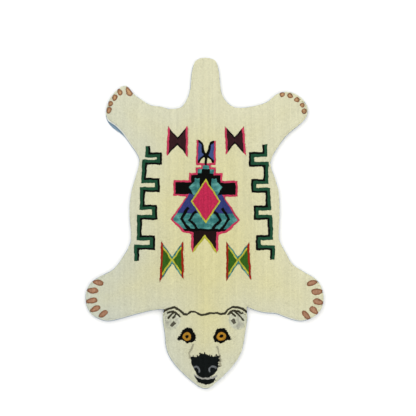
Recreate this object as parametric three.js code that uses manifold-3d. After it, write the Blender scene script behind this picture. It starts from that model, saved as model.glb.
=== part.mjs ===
// A hand-tufted wool rug in the shape of a flattened polar-bear skin, about 3 ft from nose to tail tip.
// Millimetres, +Z up. The rug lies on the floor at z = 0, with its head towards -Y and its tail towards
// +Y; left is -X and right is +X, as seen from above with the head near. The origin is at floor level
// under the middle of the rug's own box.
//
// From the floor up it is a woven backing cloth, a latex bond, the tufting canvas and the wool pile. A
// cloth binding is folded round the edge of the lower three. Every colour of yarn is an area of pile of
// its own, standing in an opening of the pile around it.

import * as THREE from 'three';
import { mergeVertices } from 'three/addons/utils/BufferGeometryUtils.js';
import Module from 'manifold-3d';

const wasm = await Module();
wasm.setup();

// ---------------------------------------------------------------- driving dimensions

const BACKING_THICKNESS = 1.2;
const LATEX_THICKNESS = 1.5;
const CANVAS_THICKNESS = 1.1;
const PILE_HEIGHT = 12;
const BINDING_WALL = 1.0; // cloth round the edge
const BINDING_HEM = 12; // how far the binding turns in under the rug
const BINDING_LIP = 1.0; // height of the binding's lip on top of the canvas
const YARN_GAP = 0.3; // parting line between two areas of pile, and round the inner layers
const LINE_WIDTH = 5.5; // one tufted line of yarn
const STEPS_PER_POINT = 2; // straight pieces between two points of a smooth outline
const OVERRUN = 1; // how far a cutting solid runs past what it cuts

const LATEX_Z = BACKING_THICKNESS;
const CANVAS_Z = LATEX_Z + LATEX_THICKNESS;
const PILE_Z = CANVAS_Z + CANVAS_THICKNESS;
const TOP_Z = PILE_Z + PILE_HEIGHT;

const COLOUR = {
  backing: 0x8d97a3, latex: 0xd8cfb4, canvas: 0xcfc7ae, binding: 0x8fa3b5,
  cream: 0xded9b4, earGrey: 0xb9b8a4, charcoal: 0x3c3c38, claw: 0x96644b, black: 0x14120f,
  amber: 0xc0851f, darkGreen: 0x1f4a34, maroon: 0x3a1c22, pink: 0xd0325a, red: 0xa8301a,
  leaf: 0x44701f, teal: 0x3a8583, yellow: 0xc9c03a, mouthGrey: 0x8a8a80,
};

// ---------------------------------------------------------------- outline of the rug

// Points of the rug's edge, anticlockwise from the head's right corner, as [x, y, margin]. The margin is
// how far the bound edge shows past the foot of the pile there. It is widest on the left hind leg, where
// the edge lies spread out.
const SLIM = 1.4;
const RIGHT_FRONT_LEG = [
  [117, -229, SLIM], [134, -239, 3], [167, -248, 4], [197, -250, 4.5], [216, -257, 5], [240, -266, 5.5],
  [262, -271, 5], [284, -268, 3], [306, -256, SLIM], [323, -237, SLIM], [330, -212, SLIM],
  [326, -184, SLIM], [312, -157, SLIM], [283, -139, SLIM], [262, -126, SLIM], [243, -113, SLIM],
  [228, -87, SLIM],
];
const RIGHT_FLANK = [
  [217, -67, SLIM], [206, -44, SLIM], [207, 0, SLIM], [208, 45, SLIM], [205, 92, SLIM], [192, 134, SLIM],
  [182, 168, SLIM],
];
const RIGHT_HIND_LEG = [
  [198, 204, SLIM], [227, 243, 2.2], [249, 262, 2.2], [266, 276, SLIM], [283, 296, SLIM],
  [287, 315, SLIM], [277, 339, SLIM], [254, 359, SLIM], [223, 366, SLIM], [198, 358, SLIM],
  [178, 340, SLIM], [148, 328, SLIM], [112, 322, SLIM], [84, 322, SLIM],
];
const TAIL = [
  [64, 335, SLIM], [49, 356, SLIM], [43, 386, SLIM], [40, 422, SLIM], [32, 449, SLIM], [19, 458, SLIM],
  [-11, 459.5, SLIM], [-26, 450, SLIM], [-35, 425, 2.2], [-38.5, 395, 2.4], [-40, 372, SLIM],
  [-50, 342, SLIM], [-66, 322, SLIM],
];
const LEFT_HIND_LEG = [
  [-98, 318, SLIM], [-122, 325, SLIM], [-149, 328, SLIM], [-177, 345, SLIM], [-200, 363, SLIM],
  [-214, 381, SLIM], [-231, 380, SLIM], [-253, 360, SLIM], [-268, 336, SLIM], [-274, 303, SLIM],
  [-270, 285, 7],
  [-259, 270, 13], [-247, 260, 13], [-232, 250, 9], [-218, 236, 5.5], [-204, 216, 4.5],
  [-189, 195, 3.5], [-181, 176, 2.2],
];
const LEFT_FLANK = [
  [-186, 146, SLIM], [-201, 97, SLIM], [-208, 50, SLIM], [-207, 5, SLIM], [-204, -50, SLIM],
];
const LEFT_FRONT_LEG = [
  [-226, -92, SLIM], [-252, -127, SLIM], [-286, -145, SLIM], [-314, -163, SLIM], [-328, -188, SLIM],
  [-329, -217, SLIM], [-319, -245, SLIM], [-298, -262, 3], [-270, -271, 4], [-236, -265, 4],
  [-190, -252, 3.4], [-146, -241, 2], [-112, -237, SLIM],
];
const HEAD = [
  [-116, -254, SLIM], [-115, -277, 2], [-110, -306, 2.5], [-108, -336, 2.5], [-101, -362, 3],
  [-82, -392, 3.4], [-56, -419, 3.6], [-28, -443, 3.6], [-8, -456, 3.4], [10, -457, 2.4],
  [26, -445, SLIM], [52, -422, SLIM], [80, -392, SLIM], [101, -358, SLIM], [109, -326, SLIM],
  [113, -298, SLIM], [118, -270, SLIM], [118, -247, SLIM],
];

// ---------------------------------------------------------------- head

// The line tufted between the neck and the body, over both ears.
const NECK_LINE = [
  [-116, -246], [-100, -235.5], [-83, -232], [-69, -239.5], [-58, -251.5], [-48, -251.5], [-37, -243.5],
  [-25, -245.5], [-10, -252.5], [4, -252.5], [14, -248.5], [35, -247.5], [45, -250.5], [56, -248.5],
  [65, -238.5], [76, -231.5], [90, -231.5], [104, -236], [120, -248],
];
const CHEEK_X = 121; // just past the widest part of the head
const BELOW_CHIN_Y = -480;
const EAR = { x: 91, y: -267, halfWidth: 24, halfHeight: 27 };
const EYE_SURROUND = [
  [-74, -321], [-61, -297], [-53, -290], [-35, -291], [-25, -311], [-28, -325], [-47, -331], [-63, -322],
];
const EYES = { left: [-49, -313], right: [46.5, -312.5] };
const IRIS_RADIUS = 12.2;
const PUPIL_RADIUS = 4.8;
const NOSE = [
  [-39, -369], [-25, -369], [-12, -364], [1, -361], [10, -364], [19, -369], [40, -366], [38, -384],
  [35, -405], [23, -419], [8, -427], [-7, -427], [-19, -418], [-29, -405], [-34, -390],
];
const MOUTH_LINE = [[-28, -419], [-18, -424], [-8, -427.5], [9, -429], [23, -426.5], [33, -420.5]];
const MOUTH_WIDTH = 4.4;
const LIP = [[-28, -421], [-8, -427.5], [9, -429], [32, -423], [24, -438], [3, -446], [-18, -439]];

// ---------------------------------------------------------------- claws

// Five claws to a paw, as [x, y, length, width, turn in degrees], in order round the paw.
const CLAWS = {
  hind_left: [
    [-210, 366, 27, 16, -61], [-235, 364, 19, 12.5, -72], [-249, 349, 17, 12.5, 66],
    [-260, 332, 15, 12, 66], [-265, 314, 18, 12.5, 76],
  ],
  hind_right: [
    [216, 357, 14.5, 13, 20], [237, 354, 15, 13.5, -20], [256.5, 343, 15, 13.5, -35],
    [271, 328, 14, 13, -50], [276, 311, 15, 13.5, -80],
  ],
  front_left: [
    [-294, -164, 30, 15, -10], [-309, -186, 31, 16.5, -3], [-312, -214, 31, 16, 13],
    [-302, -236, 30, 16, 20], [-280, -250, 28, 15, 36],
  ],
  front_right: [
    [297, -165, 30, 15, 13], [311, -189, 31, 17, 0], [314, -217, 28, 17.5, -18],
    [302, -240, 28, 17, -42], [281, -254, 31, 15, -45],
  ],
};
const CLAW_SIDES = 16;
const CLAW_TAPER = 0.18; // how much narrower the outer end of a claw is than its root

// ---------------------------------------------------------------- woven-style motifs

// Key patterns beside the flanks, from the tail end down. Each hook is
// [y of its upper bar, y of its lower bar, x of the spine above, x of the spine below, x of its tip].
const MEANDER_WIDTH = 13.6;
const MEANDER_BLACK = 5.2; // the black strip along the side nearer the middle of the rug
const MEANDERS = {
  left: {
    start: 214, end: -104, blackSide: 1,
    hooks: [
      [190, 170, -157, -166, -125], [119, 94, -169, -172, -131], [45, 17, -173, -180, -138],
      [-40, -66, -181, -188, -144],
    ],
  },
  right: {
    start: 219, end: -100, blackSide: -1,
    hooks: [
      [191, 164, 167, 170, 130], [116, 92, 170, 175, 136], [43, 17, 177, 181, 143],
      [-39, -67, 183, 188, 149],
    ],
  },
};

// Hourglasses: a core between two notches, with a strip of another colour down each side. Each has its
// left and right corners at the top and the bottom, and between them its waist, as [x, upper y, lower y].
const HOURGLASSES = {
  dark_left: {
    top: [[-101.5, 270], [-46.5, 272.5]], waist: [-75, 237.5, 219], bottom: [[-106, 185.5], [-46.5, 184.5]],
  },
  dark_right: {
    top: [[55.5, 270], [109, 269.5]], waist: [84, 239, 222.5], bottom: [[59, 190], [115, 187.5]],
  },
  green_left: {
    top: [[-120, -49], [-59, -48.5]], waist: [-90, -92.5, -109.5], bottom: [[-124, -162], [-57.5, -157]],
  },
  green_right: {
    top: [[60, -49], [123, -51.5]], waist: [93, -93.5, -110], bottom: [[60, -160.5], [129.5, -157.5]],
  },
};
const SIDE_STRIP = 5.4;

// The figure in the middle, about its own upright centreline. It stands slightly turned. Each list is the
// right half of a symmetric outline, from the top down.
const FIGURE = { x: 2.4, y: 79, turn: -0.8 };
const FIGURE_EDGE = [
  [0, 113], [4.5, 124], [7, 138], [11, 146], [20, 151.5], [27, 151.5], [27, 82.5], [13, 82.5], [13, 76],
  [28, 76], [28, 61], [46, 61], [46, 40], [89, 40], [89, -4], [52, -4], [96, -69], [60, -104.5],
  [37.5, -109.5], [37.5, -150], [33, -162], [0, -118],
];
const FIGURE_BODY = [
  [0, 113], [4.5, 124], [7, 138], [11, 146], [20, 151.5], [22, 151.5], [22, 88.5], [3, 88.5], [3, 82.5],
  [9, 82.5], [9, 71], [22.5, 71], [22.5, 55.5], [40.5, 55.5], [40.5, 34.5], [83.5, 34.5], [83.5, 1.5],
  [45, 1.5], [78, -51], [0, -51],
];
const FIGURE_SKIRT = [[0, -51], [78, -51], [89, -68], [61, -94], [0, -94]];
const FIGURE_TAIL = [[0, -94], [61, -94], [55, -100.5], [31, -102.5], [31, -150], [0, -109]];
const DIAMOND = { x: 3, y: 61.8, halfWidth: 40.8, halfHeight: 62.3, border: 4 };

// ---------------------------------------------------------------- outlines

const radians = (degrees) => THREE.MathUtils.degToRad(degrees);

// A smooth line through the given points. A third coordinate rides along.
function smooth(points) {
  const knots = points.map(([x, y, margin = 0]) => new THREE.Vector3(x, y, margin));
  const curve = new THREE.CatmullRomCurve3(knots, false, 'centripetal');
  return curve.getPoints((points.length - 1) * STEPS_PER_POINT).map((p) => p.toArray());
}

function anticlockwise(outline) {
  const flat = outline.map(([x, y]) => new THREE.Vector2(x, y));
  return THREE.ShapeUtils.isClockWise(flat) ? [...outline].reverse() : outline;
}

// Moves each corner of a closed outline outwards, keeping the sides parallel. The distance may differ
// from corner to corner.
function grow(outline, distance) {
  const corners = anticlockwise(outline);
  const count = corners.length;
  const side = (i, j) => new THREE.Vector2(corners[j][0] - corners[i][0], corners[j][1] - corners[i][1]);
  return corners.map((corner, i) => {
    const before = side((i + count - 1) % count, i).normalize();
    const after = side(i, (i + 1) % count).normalize();
    const outward = new THREE.Vector2(before.y + after.y, -before.x - after.x);
    const reach = typeof distance === 'function' ? distance(corner) : distance;
    const mitre = (2 * reach) / outward.lengthSq();
    return [corner[0] + outward.x * mitre, corner[1] + outward.y * mitre];
  });
}

// The band between two distances to the left of a line's direction of travel, as a closed outline.
function band(line, near, far) {
  const edge = (distance) => line.map(([x, y], i) => {
    const to = line[Math.min(i + 1, line.length - 1)];
    const from = line[Math.max(i - 1, 0)];
    const before = new THREE.Vector2(x - from[0], y - from[1]).normalize();
    const after = new THREE.Vector2(to[0] - x, to[1] - y).normalize();
    const left = new THREE.Vector2(-before.y - after.y, before.x + after.x);
    const mitre = i === 0 || i === line.length - 1 ? 1 : 2 / left.lengthSq();
    return [x + left.x * distance * mitre, y + left.y * distance * mitre];
  });
  return [...edge(near), ...edge(far).reverse()];
}

const stroke = (line, width) => band(line, -width / 2, width / 2);

const mirrored = (outline) => outline.map(([x, y]) => [-x, y]);

// Both halves of an outline that is symmetric about x = 0 and starts and ends there.
function bothHalves(rightHalf) {
  const left = mirrored(rightHalf.filter(([x]) => x > 0)).reverse();
  return [...rightHalf, ...left];
}

function ellipse(x, y, halfLength, halfWidth, turn = 0, taper = 0, sides = 24) {
  return Array.from({ length: sides }, (_, i) => {
    const angle = (i / sides) * 2 * Math.PI;
    const along = halfLength * Math.cos(angle);
    const across = halfWidth * Math.sin(angle) * (1 - taper * Math.cos(angle));
    const cos = Math.cos(radians(turn));
    const sin = Math.sin(radians(turn));
    return [x + along * cos - across * sin, y + along * sin + across * cos];
  });
}

// ---------------------------------------------------------------- solids

function prism(outline, low, high) {
  const shape = new THREE.Shape(anticlockwise(outline).map(([x, y]) => new THREE.Vector2(x, y)));
  const extruded = new THREE.ExtrudeGeometry(shape, { depth: high - low, bevelEnabled: false });
  extruded.translate(0, 0, low);
  extruded.deleteAttribute('normal');
  extruded.deleteAttribute('uv');
  const welded = mergeVertices(extruded, 1e-4);
  return new wasm.Manifold(new wasm.Mesh({
    numProp: 3,
    vertProperties: new Float32Array(welded.attributes.position.array),
    triVerts: new Uint32Array(welded.index.array),
  }));
}

// What is left of a cut area is one piece; slivers too small to hold a tuft are dropped.
function largestBody(solid) {
  return solid.decompose().reduce((best, body) => (body.volume() > best.volume() ? body : best));
}

function mesh(name, solid, colour, roughness = 0.95) {
  const { vertProperties, triVerts } = solid.getMesh();
  const geometry = new THREE.BufferGeometry();
  geometry.setAttribute('position', new THREE.BufferAttribute(vertProperties, 3));
  geometry.setIndex(new THREE.BufferAttribute(triVerts, 1));
  geometry.computeVertexNormals();
  const material = new THREE.MeshStandardMaterial({ color: colour, roughness, metalness: 0 });
  const part = new THREE.Mesh(geometry, material);
  part.name = name;
  return part;
}

// ---------------------------------------------------------------- base layers

const rug = new THREE.Group();

const edge = [
  ...smooth([
    ...RIGHT_FRONT_LEG, ...RIGHT_FLANK, ...RIGHT_HIND_LEG, ...TAIL, ...LEFT_HIND_LEG, ...LEFT_FLANK,
    ...LEFT_FRONT_LEG,
  ]),
  ...smooth(HEAD),
];
const pileFoot = grow(edge, ([, , margin]) => -margin);

function makeBaseLayers() {
  const core = grow(edge, -BINDING_WALL - YARN_GAP);
  const cloth = grow(edge, -BINDING_HEM - YARN_GAP);
  const binding = prism(edge, 0, PILE_Z + BINDING_LIP)
    .subtract(prism(grow(edge, -BINDING_HEM), -OVERRUN, LATEX_Z + OVERRUN / 2))
    .subtract(prism(grow(edge, -BINDING_WALL), LATEX_Z, PILE_Z))
    .subtract(prism(grow(pileFoot, YARN_GAP), PILE_Z - OVERRUN / 2, TOP_Z));
  rug.add(mesh('backing_cloth', prism(cloth, 0, LATEX_Z), COLOUR.backing));
  rug.add(mesh('latex_bond', prism(core, LATEX_Z, CANVAS_Z), COLOUR.latex, 0.6));
  rug.add(mesh('tufting_canvas', prism(core, CANVAS_Z, PILE_Z), COLOUR.canvas));
  rug.add(mesh('edge_binding', binding, COLOUR.binding));
}

// ---------------------------------------------------------------- areas of pile

// Each area is laid over the ones before it, which are cut back round it.
const areas = [];

function area(name, outline, colour) {
  areas.push({ name, outline, colour });
}

function layHead() {
  const underNeck = [
    ...NECK_LINE, [CHEEK_X, NECK_LINE.at(-1)[1]], [CHEEK_X, BELOW_CHIN_Y], [-CHEEK_X, BELOW_CHIN_Y],
    [-CHEEK_X, NECK_LINE[0][1]],
  ];
  area('head_pile', underNeck, COLOUR.cream);
  for (const [side, sign] of [['left', -1], ['right', 1]]) {
    const ear = ellipse(sign * EAR.x, EAR.y, EAR.halfWidth, EAR.halfHeight);
    area(`ear_${side}_pile`, ear, COLOUR.earGrey);
  }
  area('neck_line', stroke(NECK_LINE, LINE_WIDTH), COLOUR.charcoal);
  for (const [side, sign] of [['left', -1], ['right', 1]]) {
    const surround = sign < 0 ? EYE_SURROUND : mirrored(EYE_SURROUND);
    area(`eye_${side}_surround`, surround, COLOUR.black);
    const [x, y] = EYES[side];
    area(`eye_${side}_iris`, ellipse(x, y, IRIS_RADIUS, IRIS_RADIUS), COLOUR.amber);
    area(`eye_${side}_pupil`, ellipse(x, y, PUPIL_RADIUS, PUPIL_RADIUS, 0, 0, 12), COLOUR.black);
  }
  area('nose', NOSE, COLOUR.black);
  area('lip', LIP, COLOUR.black);
  area('mouth_line', stroke(MOUTH_LINE, MOUTH_WIDTH), COLOUR.mouthGrey);
}

function layClaws() {
  for (const [paw, claws] of Object.entries(CLAWS)) {
    claws.forEach(([x, y, length, width, turn], i) => {
      const outward = x < 0 ? 180 : 0;
      const claw = ellipse(x, y, length / 2, width / 2, turn + outward, CLAW_TAPER, CLAW_SIDES);
      area(`${paw}_claw_${i + 1}`, claw, COLOUR.claw);
    });
  }
}

function layMeander(side, { start, end, blackSide, hooks }) {
  const path = [[hooks[0][2], start]];
  for (const [upper, lower, above, below, tip] of hooks) {
    path.push([above, upper], [tip, upper], [tip, lower], [below, lower]);
  }
  path.push([hooks.at(-1)[3], end]);
  const half = MEANDER_WIDTH / 2;
  area(`meander_${side}_green`, stroke(path, MEANDER_WIDTH), COLOUR.darkGreen);
  const strip = band(path, blackSide * (half - MEANDER_BLACK), blackSide * half);
  area(`meander_${side}_black`, strip, COLOUR.black);
}

function layHourglass(name, shape, coreColour, sideColour) {
  const { top: [leftTop, rightTop], bottom: [leftBottom, rightBottom], waist: [x, upperY, lowerY] } = shape;
  const upper = [x, upperY];
  const lower = [x, lowerY];
  const towards = ([x0, y0], [x1, y1], distance) => {
    const share = distance / Math.abs(x1 - x0);
    return [x0 + (x1 - x0) * share, y0 + (y1 - y0) * share];
  };
  area(`hourglass_${name}_core`, [leftTop, upper, rightTop, rightBottom, lower, leftBottom], coreColour);
  for (const [side, high, low] of [['left', leftTop, leftBottom], ['right', rightTop, rightBottom]]) {
    const strip = [high, towards(high, upper, SIDE_STRIP), towards(low, lower, SIDE_STRIP), low];
    area(`hourglass_${name}_${side}_strip`, strip, sideColour);
  }
}

function layFigure() {
  const cos = Math.cos(radians(FIGURE.turn));
  const sin = Math.sin(radians(FIGURE.turn));
  const placed = (outline) => outline.map(([u, v]) => [
    FIGURE.x + u * cos - v * sin,
    FIGURE.y + u * sin + v * cos,
  ]);
  const { x, y, halfWidth, halfHeight, border } = DIAMOND;
  const diamond = [[x, y + halfHeight], [x + halfWidth, y], [x, y - halfHeight], [x - halfWidth, y]];
  area('figure_edge', placed(bothHalves(FIGURE_EDGE)), COLOUR.pink);
  area('figure_body', placed(bothHalves(FIGURE_BODY)), COLOUR.black);
  area('figure_skirt', placed(bothHalves(FIGURE_SKIRT)), COLOUR.teal);
  area('figure_tail', placed(bothHalves(FIGURE_TAIL)), COLOUR.maroon);
  area('figure_diamond_border', diamond, COLOUR.yellow);
  area('figure_diamond', grow(diamond, -border), COLOUR.pink);
}

function layPile() {
  area('body_pile', pileFoot, COLOUR.cream);
  layHead();
  layClaws();
  for (const [side, meander] of Object.entries(MEANDERS)) layMeander(side, meander);
  for (const [name, shape] of Object.entries(HOURGLASSES)) {
    const dark = name.startsWith('dark');
    layHourglass(name, shape, dark ? COLOUR.maroon : COLOUR.leaf, dark ? COLOUR.pink : COLOUR.red);
  }
  layFigure();

  const field = prism(pileFoot, PILE_Z, TOP_Z);
  let covered = null;
  for (const { name, outline, colour } of [...areas].reverse()) {
    let solid = prism(outline, PILE_Z, TOP_Z).intersect(field);
    if (covered) solid = solid.subtract(covered);
    const opening = prism(grow(outline, YARN_GAP), PILE_Z - OVERRUN, TOP_Z + OVERRUN);
    covered = covered ? covered.add(opening) : opening;
    rug.add(mesh(name, largestBody(solid), colour));
  }
}

makeBaseLayers();
layPile();

const box = new THREE.Box3().setFromObject(rug);
const middle = box.getCenter(new THREE.Vector3());
rug.position.set(-middle.x, -middle.y, 0);

export default rug;
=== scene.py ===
"""A hand-tufted wool rug in the shape of a flattened polar-bear skin, seen from above its head.

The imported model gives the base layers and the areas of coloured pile. Here each area is filled with
single cut tufts: one row along every border, then rows up and down the rug, and tall tufts that lean out
round the rug's edge. The finer lines of yarn inside an area, the folded binding with its overcast
stitches and the woven cloth under the rug are made here too. Lengths are in metres.
"""
import math

import bpy
import numpy as np
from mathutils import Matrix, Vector, geometry, kdtree


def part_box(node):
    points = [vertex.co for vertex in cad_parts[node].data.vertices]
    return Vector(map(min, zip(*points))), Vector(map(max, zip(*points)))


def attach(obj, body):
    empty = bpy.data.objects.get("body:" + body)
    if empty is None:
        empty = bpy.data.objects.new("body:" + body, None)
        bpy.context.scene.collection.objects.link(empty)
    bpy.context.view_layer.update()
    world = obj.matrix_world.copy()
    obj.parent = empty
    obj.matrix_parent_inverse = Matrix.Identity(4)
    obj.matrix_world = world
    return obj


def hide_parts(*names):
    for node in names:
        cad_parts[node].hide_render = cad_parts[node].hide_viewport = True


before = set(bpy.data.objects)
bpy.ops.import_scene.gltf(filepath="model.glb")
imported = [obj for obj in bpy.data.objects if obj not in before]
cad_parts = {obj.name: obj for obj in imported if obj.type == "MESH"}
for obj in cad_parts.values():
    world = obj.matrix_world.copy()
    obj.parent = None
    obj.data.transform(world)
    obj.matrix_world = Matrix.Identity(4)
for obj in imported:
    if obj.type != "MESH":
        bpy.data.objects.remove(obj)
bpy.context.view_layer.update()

MM = 0.001
WELD = 0.01 * MM
rng = np.random.default_rng(41)


def mm(points):
    """A list of points written in millimetres, as metres."""
    return np.array(points, float) * MM


# ---- the frame's heights and places

CANVAS_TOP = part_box("tufting_canvas")[1].z
PILE_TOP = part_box("body_pile")[1].z
BACKING_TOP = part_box("backing_cloth")[1].z
LIP_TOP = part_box("edge_binding")[1].z


def middle_of(node):
    low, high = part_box(node)
    return np.array([(low.x + high.x) / 2, (low.y + high.y) / 2])


# ---- sizes of the tufting

BODY_PITCH = 3.5 * MM  # rows of the cream pile
MOTIF_PITCH = 2.9 * MM  # rows of the coloured areas
LINE_PITCH = 2.5 * MM  # rows of the single lines
STITCH_SHARE = 0.9  # stitches along a row, as a share of the row pitch
TUFT_SPREAD = 0.86  # radius of a bloomed tuft, as a share of the pitch
TUFT_DEPTH = 5.5 * MM  # how much of an inner tuft is modelled
GROUND_RISE = 7.8 * MM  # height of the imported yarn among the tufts
GROUND_INSET = 0.3 * MM  # how far it stays inside its area's border
GROUND_SLOPE = 9.0 * MM  # how far from the rug's edge it reaches its height
CARVE_DEPTH = 0.9 * MM  # groove sheared along each colour border
CARVE_REACH = 2.0 * MM
EDGE_FALL = 2.8 * MM  # how far the pile is rounded down at the rug's edge
EDGE_REACH = 8.0 * MM
OUTER_ROWS = 9.0 * MM  # tufts nearer the edge than this are modelled at their whole height
EDGE_ROW = 3.6 * MM  # tufts nearer the edge than this lean out over it
EDGE_LEAN = 0.8 * MM
RIM_REACH = 120 * MM  # how far from the rug's edge the cream wool turns from cool to warm


# ---- flat outlines

def read(collection, field, width, kind=float):
    values = np.zeros(len(collection) * width, np.float32 if kind is float else np.int32)
    collection.foreach_get(field, values)
    return values.reshape(-1, width).astype(kind)


def top_loops(node):
    """The closed outlines of a CAD node's top face, outer and inner, each as an (n, 2) array."""
    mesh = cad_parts[node].data
    mesh.calc_loop_triangles()
    cells = np.round(read(mesh.vertices, "co", 3) / WELD).astype(int)
    places, index = np.unique(cells, axis=0, return_inverse=True)
    corners = index.reshape(-1)[read(mesh.loop_triangles, "vertices", 3, int)]
    heights = places[corners][:, :, 2]
    forward = set()
    for a, b, c in corners[(heights > places[:, 2].max() - 3).all(axis=1)]:
        if a != b and b != c and c != a:
            forward.update(((a, b), (b, c), (c, a)))
    following = {a: b for a, b in sorted(forward) if (b, a) not in forward}
    loops = []
    while following:
        here = min(following)
        loop = []
        while here in following:
            loop.append(places[here][:2] * WELD)
            here = following.pop(here)
        if len(loop) > 2:
            loops.append(np.array(loop))
    return loops


def unit(vectors):
    return vectors / np.maximum(np.linalg.norm(vectors, axis=1), 1e-9)[:, None]


def left_of(directions):
    return np.stack([-directions[:, 1], directions[:, 0]], axis=1)


def signed_area(loop):
    """An outline's area, positive if it runs anticlockwise."""
    x, y = loop.T
    return float((x * np.roll(y, -1) - y * np.roll(x, -1)).sum() / 2)


def as_segments(loops):
    """Both ends of every side of some closed outlines, as an (m, 2, 2) array."""
    return np.concatenate([np.stack([loop, np.roll(loop, -1, axis=0)], axis=1) for loop in loops])


def extent(loops):
    points = np.concatenate(loops)
    return points.min(axis=0), points.max(axis=0)


CHUNK = 3000  # points compared with an outline at a time


def inside(points, loops):
    """Which points lie inside the outlines, by counting the sides crossed on the way out."""
    start, end = as_segments(loops).transpose(1, 0, 2)
    result = np.zeros(len(points), bool)
    for first in range(0, len(points), CHUNK):
        x, y = points[first:first + CHUNK].T[:, :, None]
        crosses = (start[:, 1] > y) != (end[:, 1] > y)
        run = np.where(end[:, 1] == start[:, 1], 1.0, end[:, 1] - start[:, 1])
        at = start[:, 0] + (y - start[:, 1]) * (end[:, 0] - start[:, 0]) / run
        result[first:first + CHUNK] = (crosses & (x < at)).sum(axis=1) % 2 == 1
    return result


def to_border(points, segments):
    """Each point's distance to the nearest side, and the nearest place on it."""
    start = segments[:, 0]
    along = segments[:, 1] - start
    length = np.maximum((along ** 2).sum(axis=1), 1e-16)
    distance = np.zeros(len(points))
    nearest = np.zeros((len(points), 2))
    for first in range(0, len(points), CHUNK):
        some = points[first:first + CHUNK]
        share = ((some[:, None] - start) * along).sum(axis=2) / length
        feet = start + along * np.clip(share, 0, 1)[:, :, None]
        gaps = np.linalg.norm(some[:, None] - feet, axis=2)
        best = gaps.argmin(axis=1)
        rows = np.arange(len(some))
        distance[first:first + CHUNK] = gaps[rows, best]
        nearest[first:first + CHUNK] = feet[rows, best]
    return distance, nearest


def spaced(loop, step):
    """Points at an even step round a closed outline, with the outline's direction at each."""
    closed = np.vstack([loop, loop[:1]])
    sides = np.diff(closed, axis=0)
    lengths = np.linalg.norm(sides, axis=1)
    travelled = np.concatenate([[0], np.cumsum(lengths)])
    count = max(4, round(travelled[-1] / step))
    at = np.arange(count) * travelled[-1] / count
    side = np.clip(np.searchsorted(travelled, at, side="right") - 1, 0, len(sides) - 1)
    share = (at - travelled[side]) / np.maximum(lengths[side], 1e-9)
    return closed[side] + sides[side] * share[:, None], unit(sides)[side]


def shifted(loop, distance):
    """A closed outline moved sideways: outwards for an anticlockwise outline if distance is positive."""
    total = unit(loop - np.roll(loop, 1, axis=0)) + unit(np.roll(loop, -1, axis=0) - loop)
    mitre = 2 * distance / np.maximum((total ** 2).sum(axis=1), 1.0)
    return loop - left_of(total) * mitre[:, None]


def rounded(loop, step):
    """A closed outline with its corners eased and its points at an even step."""
    loop = spaced(loop, step)[0]
    for _ in range(3):
        loop = (np.roll(loop, 1, axis=0) + 2 * loop + np.roll(loop, -1, axis=0)) / 4
    return loop


def line_area(line, width):
    """The outline of a line of yarn of one width, through some points."""
    line = np.asarray(line, float)
    sideways = left_of(unit(np.gradient(line, axis=0))) * width / 2
    return np.vstack([line + sideways, (line - sideways)[::-1]])


def mirror(points):
    return np.asarray(points) * [-1, 1]


# ---- yarn

def linear(*srgb):
    """An 8-bit sRGB colour as linear light."""
    shares = [value / 255 for value in srgb]
    return [s / 12.92 if s <= 0.04045 else ((s + 0.055) / 1.055) ** 2.4 for s in shares]


# Each yarn's colour, and its material slot in the record.
YARNS = {
    "cream": (linear(210, 207, 170), "cream_wool"),
    "ear_grey": (linear(158, 157, 146), "grey_wool"),
    "faint_grey": (linear(168, 165, 140), "grey_wool"),
    "mouth_grey": (linear(160, 160, 152), "grey_wool"),
    "nostril_grey": (linear(104, 108, 110), "charcoal_wool"),
    "charcoal": (linear(58, 56, 42), "charcoal_wool"),
    "ear_spot": (linear(84, 82, 70), "charcoal_wool"),
    "front_claw": (linear(166, 126, 100), "brown_wool"),
    "hind_claw": (linear(184, 148, 108), "brown_wool"),
    "claw_edge": (linear(130, 88, 62), "brown_wool"),
    "black": (linear(5, 6, 4), "black_wool"),
    "nose_black": (linear(13, 18, 17), "black_wool"),
    "amber": (linear(180, 138, 44), "amber_wool"),
    "amber_edge": (linear(158, 112, 36), "amber_wool"),
    "dark_green": (linear(28, 72, 50), "dark_green_wool"),
    "maroon": (linear(50, 26, 30), "maroon_wool"),
    "dark_maroon": (linear(32, 16, 16), "maroon_wool"),
    "pink": (linear(192, 58, 88), "pink_wool"),
    "deep_pink": (linear(182, 40, 76), "pink_wool"),
    "red": (linear(148, 34, 18), "red_wool"),
    "leaf": (linear(50, 92, 26), "leaf_green_wool"),
    "teal": (linear(50, 110, 108), "teal_wool"),
    "light_teal": (linear(96, 160, 152), "teal_wool"),
    "yellow": (linear(178, 176, 60), "yellow_wool"),
    "purple": (linear(50, 58, 114), "purple_wool"),
    "pale_purple": (linear(64, 78, 128), "purple_wool"),
}


# ---- materials

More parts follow.
